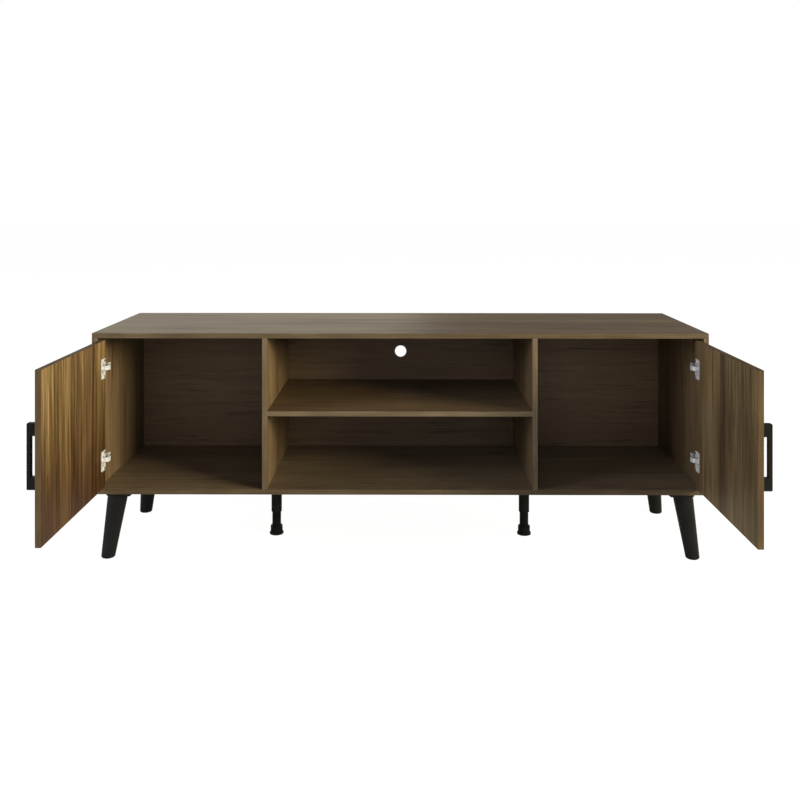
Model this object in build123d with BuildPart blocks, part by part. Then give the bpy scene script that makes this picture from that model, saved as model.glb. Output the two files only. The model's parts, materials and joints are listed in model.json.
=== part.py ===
from build123d import *
import os

# A low television stand on splayed legs: two open bays in the middle, a cupboard with an
# inset door at each end. Millimetres, +Z up, the front faces -Y. The origin is on the floor,
# under the middle of the whole stand with both doors standing open at a right angle.

os.makedirs("parts", exist_ok=True)

# ---- driving dimensions -------------------------------------------------------------------
WIDTH = 1480.0  # carcass, over the side panels
DEPTH = 400.0  # carcass, front edge to back panel
HEIGHT = 552.0  # floor to the upper face of the top
LEG_HEIGHT = 165.0  # floor to the underside of the bottom board
BOARD = 12.0  # every laminated board
BACK = 3.0  # thin back panels
BAND = 0.8  # edge band glued on the boards' show edges
DIVIDER_X = 324.5  # middle plane of a divider
SHELF_Z = 359.0  # middle plane of the shelf

DOOR_SIDE_GAP = 3.0
DOOR_BOTTOM_GAP = 2.0
DOOR_TOP_GAP = 6.0
PIVOT_U = 10.5  # hinge pivot, measured from the side panel's inner face
PIVOT_DEPTH = 6.5  # hinge pivot, measured back from the front plane
HINGE_SPACING = 221.0

CABLE_HOLE_R = 16.0
CABLE_HOLE_Z = 444.5

HANDLE_LENGTH = 136.0
HANDLE_OPENING = 83.0
HANDLE_REACH = 31.0
HANDLE_WIDTH = 12.0
HANDLE_BAR = 8.0
HANDLE_INSET = 40.0  # door's free edge to the middle of the handle
HANDLE_DROP = 5.0  # handle's middle below the door's middle
HANDLE_SCREW_SPACING = 96.0

LEG_TOP_R = 24.5
LEG_SOLE_R = 16.5
LEG_SPLAY = 19.0  # how far the sole stands out beyond the top, on each axis
LEG_SOLE_X = 27.5  # sole's middle, in from the carcass side
LEG_SOLE_Y = 36.5  # sole's middle, in from the carcass front and back
LEG_PLATE = 62.0
LEG_PLATE_T = 14.0
LEG_PLATE_CORNER = 10.0
LEG_SOLE_EDGE = 4.0
LEG_SCREW_INSET = 5.7  # plate screws, in from its sides
PAD_PROUD = 1.0  # felt pad standing out of the sole

SUPPORT_X = 323.5
SUPPORT_TUBE_R = 13.5
SUPPORT_STEM_R = 11.5
SUPPORT_TUBE_Z = 58.0  # lower end of the fixed tube
SUPPORT_COLLAR_Z = 22.0  # upper end of the collar
SUPPORT_COLLAR_R = 15.5
SUPPORT_PAD_R = 18.0
SUPPORT_PAD_T = 6.0
THREAD_PITCH = 3.5

CUP_R = 13.0  # hinge cup
CUP_DEPTH = 9.5
CUP_WALL = 0.8
CUP_INSET = 16.0  # cup's middle, in from the door's hinge edge
FLANGE_T = 1.0
FLANGE_LENGTH = 48.0
FLANGE_WIDTH = 28.0
CUP_SCREW_INSET = 10.5  # cup screws, in from the door's hinge edge
CUP_SCREW_SPACING = 38.0
PIN_R = 1.25
PIN_PLAY = 0.06  # radial running clearance of the arm's eye
EYE_R = 2.6
EYE_WIDTH = 9.0
TONGUE_WIDTH = 10.4
ARM_WIDTH = 12.0
ARM_SHEET = 1.8
CHEEK = 1.2

# ---- planes and places worked out from them -------------------------------------------------
FLOOR_Z = LEG_HEIGHT + BOARD  # upper face of the bottom board
CEILING_Z = HEIGHT - BOARD  # underside of the top
BAY_HEIGHT = CEILING_Z - FLOOR_Z
SIDE_X = WIDTH / 2 - BOARD  # inner face of a side panel
SIDE_MID_X = WIDTH / 2 - BOARD / 2
CUPBOARD_X = DIVIDER_X + BOARD / 2  # divider's face on the cupboard side
DOOR_WIDTH = SIDE_X - CUPBOARD_X - 2 * DOOR_SIDE_GAP
DOOR_HEIGHT = BAY_HEIGHT - DOOR_BOTTOM_GAP - DOOR_TOP_GAP
DOOR_Z = FLOOR_Z + DOOR_BOTTOM_GAP
DOOR_MID_Z = DOOR_Z + DOOR_HEIGHT / 2
OPEN_FACE_U = PIVOT_U - PIVOT_DEPTH  # open door: its outer face, off the side panel
OPEN_EDGE_Y = PIVOT_DEPTH + PIVOT_U - DOOR_SIDE_GAP  # open door: its hinge edge, behind the front
FRONT_Y = (DOOR_WIDTH - OPEN_EDGE_Y - DEPTH) / 2
BACK_Y = FRONT_Y + DEPTH
BOARD_BACK_Y = BACK_Y - BACK  # back edge of the uprights and the shelf
BOARD_FRONT_Y = FRONT_Y + BAND
HINGE_Z = {"upper": DOOR_MID_Z + HINGE_SPACING / 2, "lower": DOOR_MID_Z - HINGE_SPACING / 2}

FASTENER_INSET = 60.0  # screws and cams, in from the front and the back
FASTENER_Y = (FRONT_Y + FASTENER_INSET, BACK_Y - FASTENER_INSET)
MID_Y = (FRONT_Y + BACK_Y) / 2
UPRIGHT_X = (-SIDE_MID_X, -DIVIDER_X, DIVIDER_X, SIDE_MID_X)
CAM_R = 5.0
CAM_DEPTH = 9.5
CAM_DROP = 24.0  # cam's middle below the top of its upright
CAM_Z = CEILING_Z - CAM_DROP
BOLT_R = 2.5
BOLT_NECK_R = 1.6
BOLT_HEAD_R = 2.2
CAM_BORE_R = 2.7  # passage for the bolt through a cam
DOWEL_R = 3.0
DOWEL_SHORT = 9.0
DOWEL_LONG = 16.0
PANEL_SCREW_R = 2.5
PANEL_SCREW_HEAD_R = 4.5
PANEL_SCREW_LENGTH = 45.0
SHELF_SCREW_LENGTH = 40.0
NAIL_R = 0.9
NAIL_HEAD_R = 3.0
NAIL_HEAD_T = 0.8
NAIL_LENGTH = 20.0
NAILS_PER_BOARD = 6
SHELF_DOWEL_OFFSET = 60.0  # a shelf dowel, either side of the board's middle
BOLT_COLLAR = 6.0  # cam bolt's full-width length below the top board
BOLT_HEAD_T = 2.0
CROSS_SLOT = (5.0, 1.2)  # the cross in a cam's face
CROSS_DEPTH = 1.5
COVER_MARGIN = 1.5
CAM_COVER_T = 0.6
SOCKET_R = 2.0  # hexagon socket in a countersunk screw
SOCKET_DEPTH = 1.8
DOWEL_CHAMFER = 0.6
HEAD_ROUNDING = 0.45  # share of a pan head's height
HINGE_SCREW_HEAD = (3.2, 1.6)  # radius and height
ARM_SCREW_HEAD = (2.8, 1.4)
WOOD_SCREW_HEAD = (3.5, 2.0)


def save(piece, name):
    piece.part.label = name
    export_step(piece.part, f"parts/{name}.step")


def side_point(u, depth):
    """Left cupboard, in plan: u off the side panel's inner face, depth behind the front."""
    return (-SIDE_X + u, FRONT_Y + depth)


def door_point(s, t):
    """Left door, open, in plan: s from its hinge edge, t from its outer face."""
    return (-SIDE_X + OPEN_FACE_U + t, FRONT_Y + OPEN_EDGE_Y - s)


def mirrored(piece):
    """The right-hand twin of a left-hand piece."""
    with BuildPart() as twin:
        mirror(piece.part, about=Plane.YZ)
    return twin


def save_pair(piece, name):
    save(piece, f"left_{name}")
    save(mirrored(piece), f"right_{name}")


def block(x, y, z):
    """A box between the limits given on each axis, added to the part being built."""
    with Locations(((x[0] + x[1]) / 2, (y[0] + y[1]) / 2, (z[0] + z[1]) / 2)):
        Box(x[1] - x[0], y[1] - y[0], z[1] - z[0])


def rod(plane, radius, length, places=((0, 0),), mode=Mode.ADD):
    """Round rods of one size, standing on a plane at the places given."""
    with BuildSketch(plane) as profile:
        with Locations(*places):
            Circle(radius)
    extrude(profile.sketch, amount=length, mode=mode)


def screw(plane, places, shank_r, length, head):
    """Pan-head screws: heads on the plane's outer side, shanks into the material behind it."""
    head_r, head_t = head
    rod(plane, shank_r, -length, places)
    rod(plane, head_r, head_t, places)
    rims = edges().filter_by(GeomType.CIRCLE).filter_by(lambda e: abs(e.radius - head_r) < 0.01)
    fillet(rims.group_by(Axis(plane.origin, plane.z_dir))[-1], head_t * HEAD_ROUNDING)


# ---- carcass boards -----------------------------------------------------------------------
CROSS_SCREWS = [(x, y) for x in UPRIGHT_X for y in FASTENER_Y]
CROSS_DOWELS = [(x, MID_Y) for x in UPRIGHT_X]
LEG_PLACES = {
    f"{lateral}_{end}_leg": (sx, sy)
    for lateral, sx in (("left", -1), ("right", 1))
    for end, sy in (("front", -1), ("rear", 1))
}


def leg_top(sx, sy):
    """Middle of a leg's upper end, in plan."""
    x = sx * (WIDTH / 2 - LEG_SOLE_X - LEG_SPLAY)
    y = MID_Y + sy * (DEPTH / 2 - LEG_SOLE_Y - LEG_SPLAY)
    return x, y


def leg_screw_places(sx, sy):
    """Three screws in the corners of a leg's plate, none in the corner over the splay."""
    x, y = leg_top(sx, sy)
    shift = LEG_PLATE / 2 - LEG_TOP_R
    arm = LEG_PLATE / 2 - LEG_SCREW_INSET
    middle = (x - sx * shift, y - sy * shift)
    corners = ((-sx, -sy), (sx, -sy), (-sx, sy))
    return [(middle[0] + cx * arm, middle[1] + cy * arm) for cx, cy in corners]


LEG_SCREWS = [place for signs in LEG_PLACES.values() for place in leg_screw_places(*signs)]
SUPPORT_SCREW_RING = 19.0
SUPPORT_SCREWS = [
    (sx * (SUPPORT_X - SUPPORT_SCREW_RING * cx), MID_Y + SUPPORT_SCREW_RING * cy)
    for sx in (-1, 1)
    for cx, cy in ((1, 0), (-0.5, 0.866), (-0.5, -0.866))
]
WOOD_SCREW_R = 1.75
WOOD_SCREW_BITE = 10.0

with BuildPart() as top_panel:
    half = WIDTH / 2 - BAND
    block((-half, half), (BOARD_FRONT_Y, BACK_Y), (CEILING_Z, HEIGHT))
    rod(Plane.XY.offset(CEILING_Z), BOLT_R, DOWEL_SHORT, CROSS_SCREWS, Mode.SUBTRACT)
    rod(Plane.XY.offset(CEILING_Z), DOWEL_R, DOWEL_SHORT, CROSS_DOWELS, Mode.SUBTRACT)
save(top_panel, "top_panel")

with BuildPart() as bottom_panel:
    block((-half, half), (BOARD_FRONT_Y, BACK_Y), (LEG_HEIGHT, FLOOR_Z))
    rod(Plane.XY.offset(LEG_HEIGHT), PANEL_SCREW_R, BOARD, CROSS_SCREWS, Mode.SUBTRACT)
    with BuildSketch(Plane.XY.offset(LEG_HEIGHT)):
        with Locations(*CROSS_SCREWS):
            Circle(PANEL_SCREW_HEAD_R)
    sink = PANEL_SCREW_HEAD_R - PANEL_SCREW_R
    extrude(amount=sink, taper=45, mode=Mode.SUBTRACT)
    rod(Plane.XY.offset(FLOOR_Z), DOWEL_R, -DOWEL_SHORT, CROSS_DOWELS, Mode.SUBTRACT)
    rod(Plane.XY.offset(LEG_HEIGHT), WOOD_SCREW_R, WOOD_SCREW_BITE, LEG_SCREWS, Mode.SUBTRACT)
    rod(Plane.XY.offset(LEG_HEIGHT), WOOD_SCREW_R, WOOD_SCREW_BITE, SUPPORT_SCREWS, Mode.SUBTRACT)
save(bottom_panel, "bottom_panel")


def upright(x_limits, cam_face_x, cam_way):
    """A vertical board, bored for two cams and their bolts, bottom screws and dowels."""
    mid_x = (x_limits[0] + x_limits[1]) / 2
    ends = [(mid_x, y) for y in FASTENER_Y]
    cam_plane = Plane(origin=(cam_face_x, 0, 0), x_dir=(0, 1, 0), z_dir=(cam_way, 0, 0))
    places = [(y, CAM_Z * cam_way) for y in FASTENER_Y]
    with BuildPart() as board:
        block(x_limits, (BOARD_FRONT_Y, BOARD_BACK_Y), (FLOOR_Z, CEILING_Z))
        rod(cam_plane, CAM_R, CAM_DEPTH, places, Mode.SUBTRACT)
        rod(Plane.XY.offset(CEILING_Z), BOLT_R, -CAM_DROP, ends, Mode.SUBTRACT)
        rod(Plane.XY.offset(FLOOR_Z), PANEL_SCREW_R, PANEL_SCREW_LENGTH - BOARD, ends, Mode.SUBTRACT)
        rod(Plane.XY.offset(FLOOR_Z), DOWEL_R, DOWEL_LONG, [(mid_x, MID_Y)], Mode.SUBTRACT)
        rod(Plane.XY.offset(CEILING_Z), DOWEL_R, -DOWEL_LONG, [(mid_x, MID_Y)], Mode.SUBTRACT)
    return board


PLATE_MID_DEPTH = 42.0  # hinge plate's middle, behind the front
PLATE_SCREW_REACH = 11.5  # hinge plate's screws, above and below the hinge
PLATE_SCREW_BITE = 9.0
HINGE_SCREW_R = 1.6
plate_screw_places = [
    (FRONT_Y + PLATE_MID_DEPTH, z + way * PLATE_SCREW_REACH)
    for z in HINGE_Z.values()
    for way in (-1, 1)
]
inner_face = Plane(origin=(-SIDE_X, 0, 0), x_dir=(0, 1, 0), z_dir=(1, 0, 0))

NAIL_Z = [FLOOR_Z + BAY_HEIGHT * (i + 0.5) / NAILS_PER_BOARD for i in range(NAILS_PER_BOARD)]
NAIL_OFFSET = 3.2  # nails of two back panels that share a divider, either side of its middle
NAIL_X = (-SIDE_MID_X, -DIVIDER_X - NAIL_OFFSET, -DIVIDER_X + NAIL_OFFSET)
SHELF_NAIL_X = (-DIVIDER_X / 2, 0.0, DIVIDER_X / 2)
rear_plane = Plane(origin=(0, BACK_Y, 0), x_dir=(-1, 0, 0), z_dir=(0, 1, 0))  # x runs to -X
NAILS = [(-x * side, z) for x in NAIL_X for side in (-1, 1) for z in NAIL_Z]
SHELF_NAILS = [(-x, SHELF_Z) for x in SHELF_NAIL_X]

side_board = upright((-WIDTH / 2, -SIDE_X), -SIDE_X, -1)
with BuildPart() as left_side_panel:
    add(side_board.part)
    rod(inner_face, HINGE_SCREW_R, -PLATE_SCREW_BITE, plate_screw_places, Mode.SUBTRACT)
    rod(rear_plane, NAIL_R, -NAIL_LENGTH, [(-NAIL_X[0], z) for z in NAIL_Z], Mode.SUBTRACT)
save_pair(left_side_panel, "side_panel")

SHELF_ENDS = [(y, SHELF_Z) for y in FASTENER_Y]
SHELF_DOWELS = [(MID_Y + way * SHELF_DOWEL_OFFSET, SHELF_Z) for way in (-1, 1)]
divider_face = Plane(origin=(-CUPBOARD_X, 0, 0), x_dir=(0, 1, 0), z_dir=(1, 0, 0))
shelf_face = Plane(origin=(-DIVIDER_X + BOARD / 2, 0, 0), x_dir=(0, 1, 0), z_dir=(1, 0, 0))
divider_board = upright((-CUPBOARD_X, -DIVIDER_X + BOARD / 2), -CUPBOARD_X, 1)
with BuildPart() as left_divider:
    add(divider_board.part)
    rod(divider_face, PANEL_SCREW_R, BOARD, SHELF_ENDS, Mode.SUBTRACT)
    with BuildSketch(divider_face):
        with Locations(*SHELF_ENDS):
            Circle(PANEL_SCREW_HEAD_R)
    extrude(amount=sink, taper=45, mode=Mode.SUBTRACT)
    rod(shelf_face, DOWEL_R, -DOWEL_SHORT, SHELF_DOWELS, Mode.SUBTRACT)
    divider_nails = [(-x, z) for x in NAIL_X[1:] for z in NAIL_Z]
    rod(rear_plane, NAIL_R, -NAIL_LENGTH, divider_nails, Mode.SUBTRACT)
save_pair(left_divider, "divider")

with BuildPart() as middle_shelf:
    shelf_x = DIVIDER_X - BOARD / 2
    shelf_z = (SHELF_Z - BOARD / 2, SHELF_Z + BOARD / 2)
    block((-shelf_x, shelf_x), (BOARD_FRONT_Y, BOARD_BACK_Y), shelf_z)
    for way in (-1, 1):
        end = Plane(origin=(way * shelf_x, 0, 0), x_dir=(0, 1, 0), z_dir=(way, 0, 0))
        screws = [(y, z * way) for y, z in SHELF_ENDS]
        dowels = [(y, z * way) for y, z in SHELF_DOWELS]
        rod(end, PANEL_SCREW_R, -(SHELF_SCREW_LENGTH - BOARD), screws, Mode.SUBTRACT)
        rod(end, DOWEL_R, -DOWEL_LONG, dowels, Mode.SUBTRACT)
    rod(rear_plane, NAIL_R, -NAIL_LENGTH, SHELF_NAILS, Mode.SUBTRACT)
save(middle_shelf, "middle_shelf")

BACK_JOINT = 0.5  # half of the gap where two back panels meet behind a divider


def back_panel(x_limits, nails):
    with BuildPart() as panel:
        block(x_limits, (BOARD_BACK_Y, BACK_Y), (FLOOR_Z, CEILING_Z))
        rod(rear_plane, NAIL_R, -BACK, nails, Mode.SUBTRACT)
        rod(rear_plane, NAIL_HEAD_R, -NAIL_HEAD_T, nails, Mode.SUBTRACT)
    return panel


side_nails = [(-x, z) for x in NAIL_X[:2] for z in NAIL_Z]
left_back_panel = back_panel((-WIDTH / 2, -DIVIDER_X - BACK_JOINT), side_nails)
save_pair(left_back_panel, "back_panel")

centre_nails = [(-NAIL_X[2] * side, z) for side in (-1, 1) for z in NAIL_Z] + SHELF_NAILS
centre_back = back_panel((-DIVIDER_X + BACK_JOINT, DIVIDER_X - BACK_JOINT), centre_nails)
with BuildPart() as centre_back_panel:
    add(centre_back.part)
    rod(rear_plane, CABLE_HOLE_R, -BACK, [(0, CABLE_HOLE_Z)], Mode.SUBTRACT)
save(centre_back_panel, "centre_back_panel")

with BuildPart() as carcass_edge_bands:
    for z in ((LEG_HEIGHT, FLOOR_Z), (CEILING_Z, HEIGHT)):
        block((-WIDTH / 2, WIDTH / 2), (FRONT_Y, BOARD_FRONT_Y), z)
        for end in ((-WIDTH / 2, -half), (half, WIDTH / 2)):
            block(end, (BOARD_FRONT_Y, BACK_Y), z)
    for x in UPRIGHT_X:
        block((x - BOARD / 2, x + BOARD / 2), (FRONT_Y, BOARD_FRONT_Y), (FLOOR_Z, CEILING_Z))
    block((-shelf_x, shelf_x), (FRONT_Y, BOARD_FRONT_Y), shelf_z)
save(carcass_edge_bands, "carcass_edge_bands")

# ---- carcass fasteners --------------------------------------------------------------------
with BuildPart() as cam_bolts:
    rod(Plane.XY.offset(CEILING_Z + DOWEL_SHORT), BOLT_R, -DOWEL_SHORT - BOLT_COLLAR, CROSS_SCREWS)
    rod(Plane.XY.offset(CEILING_Z - BOLT_COLLAR), BOLT_NECK_R, BOLT_COLLAR - CAM_DROP, CROSS_SCREWS)
    rod(Plane.XY.offset(CAM_Z), BOLT_HEAD_R, BOLT_HEAD_T, CROSS_SCREWS)
save(cam_bolts, "cam_bolts")


def cam_faces(gap=0.0):
    """Planes on the boards' faces where the cams go in, left and right, looking inward."""
    for x, way in ((-SIDE_X, -1), (-CUPBOARD_X, 1), (CUPBOARD_X, -1), (SIDE_X, 1)):
        yield Plane(origin=(x - way * gap, 0, 0), x_dir=(0, 1, 0), z_dir=(way, 0, 0)), way


with BuildPart() as cam_locks:
    for face, way in cam_faces():
        places = [(y, CAM_Z * way) for y in FASTENER_Y]
        rod(face, CAM_R, CAM_DEPTH, places)
        with BuildSketch(face):
            with Locations(*places):
                Rectangle(*CROSS_SLOT)
                Rectangle(*reversed(CROSS_SLOT))
        extrude(amount=CROSS_DEPTH, mode=Mode.SUBTRACT)
    rod(Plane.XY.offset(CAM_Z - CAM_R), CAM_BORE_R, 2 * CAM_R, CROSS_SCREWS, Mode.SUBTRACT)
save(cam_locks, "cam_locks")

with BuildPart() as cam_covers:
    for face, way in cam_faces(gap=CAM_COVER_T):
        rod(face, CAM_R + COVER_MARGIN, CAM_COVER_T, [(y, CAM_Z * way) for y in FASTENER_Y])
save(cam_covers, "cam_covers")

with BuildPart() as wooden_dowels:
    dowel_length = DOWEL_SHORT + DOWEL_LONG
    rod(Plane.XY.offset(CEILING_Z - DOWEL_LONG), DOWEL_R, dowel_length, CROSS_DOWELS)
    rod(Plane.XY.offset(FLOOR_Z - DOWEL_SHORT), DOWEL_R, dowel_length, CROSS_DOWELS)
    for way in (-1, 1):
        start = Plane(
            origin=(way * (shelf_x + DOWEL_SHORT), 0, 0), x_dir=(0, 1, 0), z_dir=(way, 0, 0)
        )
        rod(start, DOWEL_R, -dowel_length, [(y, z * way) for y, z in SHELF_DOWELS])
    chamfer(edges().filter_by(GeomType.CIRCLE), DOWEL_CHAMFER)
save(wooden_dowels, "wooden_dowels")


def countersunk(plane, places, length):
    """Countersunk screws driven into a plane's back side, heads flush with it."""
    rod(plane, PANEL_SCREW_R, length, places)
    with BuildSketch(plane) as head:
        with Locations(*places):
            Circle(PANEL_SCREW_HEAD_R)
    extrude(head.sketch, amount=sink, taper=45)
    with BuildSketch(plane) as socket:
        with Locations(*places):
            RegularPolygon(SOCKET_R, 6)
    extrude(socket.sketch, amount=SOCKET_DEPTH, mode=Mode.SUBTRACT)


with BuildPart() as bottom_screws:
    countersunk(Plane.XY.offset(LEG_HEIGHT), CROSS_SCREWS, PANEL_SCREW_LENGTH)
save(bottom_screws, "bottom_screws")

with BuildPart() as shelf_screws:
    for way in (-1, 1):
        face = Plane(origin=(way * CUPBOARD_X, 0, 0), x_dir=(0, 1, 0), z_dir=(-way, 0, 0))
        countersunk(face, [(y, -z * way) for y, z in SHELF_ENDS], SHELF_SCREW_LENGTH)
save(shelf_screws, "shelf_screws")

with BuildPart() as back_panel_nails:
    all_nails = NAILS + SHELF_NAILS
    rod(rear_plane, NAIL_R, -NAIL_LENGTH, all_nails)
    rod(rear_plane, NAIL_HEAD_R, -NAIL_HEAD_T, all_nails)
save(back_panel_nails, "back_panel_nails")

# ---- doors and handles ----------------------------------------------------------------------
# The plane of a left door's inner face, open: x from the hinge edge, y up from the door's foot,
# the normal running through the door towards its outer face.
door_inner = Plane(
    origin=(*door_point(0, BOARD), DOOR_Z), x_dir=(0, -1, 0), z_dir=(-1, 0, 0)
)
door_outer = door_inner.offset(BOARD)
handle_s = DOOR_WIDTH - HANDLE_INSET
handle_mid = DOOR_HEIGHT / 2 - HANDLE_DROP
handle_screw_places = [
    (handle_s, handle_mid + way * HANDLE_SCREW_SPACING / 2) for way in (-1, 1)
]
cup_places = [(CUP_INSET, z - DOOR_Z) for z in HINGE_Z.values()]
cup_screw_places = [
    (CUP_SCREW_INSET, z - DOOR_Z + way * CUP_SCREW_SPACING / 2)
    for z in HINGE_Z.values()
    for way in (-1, 1)
]
HANDLE_SCREW_R = 2.0
HANDLE_SCREW_BITE = 14.0
HANDLE_SLOT = (4.2, 0.9)  # the cross in a handle screw's head
HANDLE_SLOT_DEPTH = 1.2
HANDLE_CORNER = 2.5
GRIP_CORNER = 1.5
HANDLE_CHAMFER = 0.6
CUP_SCREW_BITE = 9.0

with BuildPart() as left_door:
    with BuildSketch(door_inner):
        with Locations((DOOR_WIDTH / 2, DOOR_HEIGHT / 2)):
            Rectangle(DOOR_WIDTH - 2 * BAND, DOOR_HEIGHT - 2 * BAND)
    extrude(amount=BOARD)
    rod(door_inner, CUP_R, CUP_DEPTH, cup_places, Mode.SUBTRACT)
    rod(door_inner, HINGE_SCREW_R, CUP_SCREW_BITE, cup_screw_places, Mode.SUBTRACT)
    rod(door_inner, HANDLE_SCREW_R, BOARD, handle_screw_places, Mode.SUBTRACT)
    with BuildSketch(door_inner):
        with Locations(*handle_screw_places):
            Circle(2 * HANDLE_SCREW_R)
    extrude(amount=HANDLE_SCREW_R, taper=45, mode=Mode.SUBTRACT)
save_pair(left_door, "door")

with BuildPart() as left_door_edge_band:
    with BuildSketch(door_inner):
        with Locations((DOOR_WIDTH / 2, DOOR_HEIGHT / 2)):
            Rectangle(DOOR_WIDTH, DOOR_HEIGHT)
            Rectangle(DOOR_WIDTH - 2 * BAND, DOOR_HEIGHT - 2 * BAND, mode=Mode.SUBTRACT)
    extrude(amount=BOARD)
save_pair(left_door_edge_band, "door_edge_band")

# The handle's side view: out from the door's outer face, and up.
handle_plane = Plane(
    origin=(*door_point(handle_s, 0), DOOR_Z + handle_mid), x_dir=(-1, 0, 0), z_dir=(0, -1, 0)
)
with BuildPart() as left_handle:
    with BuildSketch(handle_plane):
        with Locations((HANDLE_REACH / 2, 0)):
            Rectangle(HANDLE_REACH, HANDLE_LENGTH)
        with Locations(((HANDLE_REACH - HANDLE_BAR) / 2, 0)):
            Rectangle(HANDLE_REACH - HANDLE_BAR, HANDLE_OPENING, mode=Mode.SUBTRACT)
    extrude(amount=HANDLE_WIDTH / 2, both=True)
    outer_corners = edges().filter_by(Axis.Y).group_by(Axis.X)[0]
    fillet(outer_corners, HANDLE_CORNER)
    grip_corners = edges().filter_by(Axis.Y).filter_by(
        lambda e: abs(abs(e.center().Z - DOOR_Z - handle_mid) - HANDLE_OPENING / 2) < 0.1
        and abs(e.center().X - door_point(0, 0)[0]) > 1
    )
    fillet(grip_corners, GRIP_CORNER)
    chamfer(faces().sort_by(Axis.Y)[0].outer_wire().edges(), HANDLE_CHAMFER)
    chamfer(faces().sort_by(Axis.Y)[-1].outer_wire().edges(), HANDLE_CHAMFER)
    rod(door_outer, HANDLE_SCREW_R, HANDLE_SCREW_BITE, handle_screw_places, Mode.SUBTRACT)
save_pair(left_handle, "handle")

# Countersunk screws through the door into the handle, under stuck-on covers. The face is the
# door's inner one again, its normal pointing off it and x running the other way.
COVER_T = 0.4
COVER_R = 6.5
door_inner_out = Plane(origin=door_inner.origin, x_dir=(0, 1, 0), z_dir=(1, 0, 0))
handle_heads = [(-s, z) for s, z in handle_screw_places]
with BuildPart() as left_handle_screws:
    rod(door_inner_out, HANDLE_SCREW_R, -BOARD - HANDLE_SCREW_BITE, handle_heads)
    with BuildSketch(door_inner):
        with Locations(*handle_screw_places):
            Circle(2 * HANDLE_SCREW_R)
    extrude(amount=HANDLE_SCREW_R, taper=45)
    with BuildSketch(door_inner):
        with Locations(*handle_screw_places):
            Rectangle(*HANDLE_SLOT)
            Rectangle(*reversed(HANDLE_SLOT))
    extrude(amount=HANDLE_SLOT_DEPTH, mode=Mode.SUBTRACT)
save_pair(left_handle_screws, "handle_screws")

with BuildPart() as left_handle_screw_covers:
    rod(door_inner_out, COVER_R, COVER_T, handle_heads)
save_pair(left_handle_screw_covers, "handle_screw_covers")

# ---- single-pivot cup hinges ----------------------------------------------------------------
PIVOT = side_point(PIVOT_U, PIVOT_DEPTH)
CUP_INNER_R = CUP_R - CUP_WALL
CUP_FLOOR_T = BOARD - CUP_DEPTH + CUP_WALL  # cup's inner floor, off the door's outer face
FLANGE_CORNER = 3.0
PIN_HALF = 8.3
# The arm's middle line, in plan: out of the cup, over the open door's edge, back to the plate.
ARM_MOUTH = (22.5, 8.5)
ARM_CREST = (24.6, 16.5)
ARM_SHOULDER = (24.6, 24.0)
ARM_REAR_U = 13.9
ARM_STEP = (ARM_REAR_U, 33.0)
ARM_END_DEPTH = 56.0
ARM_BEND = 3.0
TONGUE_FROM_U = 18.5  # the tongue is full width from here on, clear of the cup's wall
ARM_FOOT_DEPTH = 7.5
CHEEK_U = 7.5  # cheeks' lower edge, off the side panel
CHEEK_FRONT = ((CHEEK_U, 27.0), (14.0, 21.0), (19.5, 17.0))
PLATE_T = 1.5
WING_WIDTH = 14.0
WING_MARGIN = 4.5  # wing's end, beyond its screw
BRIDGE_HALF = 4.3
BRIDGE_WALL = 1.2
BRIDGE_FROM = 31.0
BRIDGE_TO = 54.0
ARM_SCREW_DEPTHS = (39.5, 49.5)
ARM_SCREW_R = 1.5
ARM_SCREW_TIP = 1.0  # screw standing out under the bridge


def hinge_cup(z):
    """Pressed cup with its flange and the two ears that hold the pin."""
    mid = (CUP_INSET, z - DOOR_Z)
    screws = [(CUP_SCREW_INSET, mid[1] + way * CUP_SCREW_SPACING / 2) for way in (-1, 1)]
    with BuildPart() as cup:
        rod(door_inner, CUP_R, CUP_DEPTH, [mid])
        with BuildSketch(door_inner):
            with Locations(mid):
                RectangleRounded(FLANGE_WIDTH, FLANGE_LENGTH, FLANGE_CORNER)
        extrude(amount=-FLANGE_T)
        rod(door_inner.offset(-FLANGE_T), CUP_INNER_R, CUP_DEPTH - CUP_WALL + FLANGE_T, [mid],
            Mode.SUBTRACT)
        rod(door_inner.offset(-FLANGE_T), HINGE_SCREW_R, FLANGE_T, screws, Mode.SUBTRACT)
        rod(Plane.XY.offset(z - CUP_R), PIN_R, 2 * CUP_R, [PIVOT], Mode.SUBTRACT)
    return cup


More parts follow.
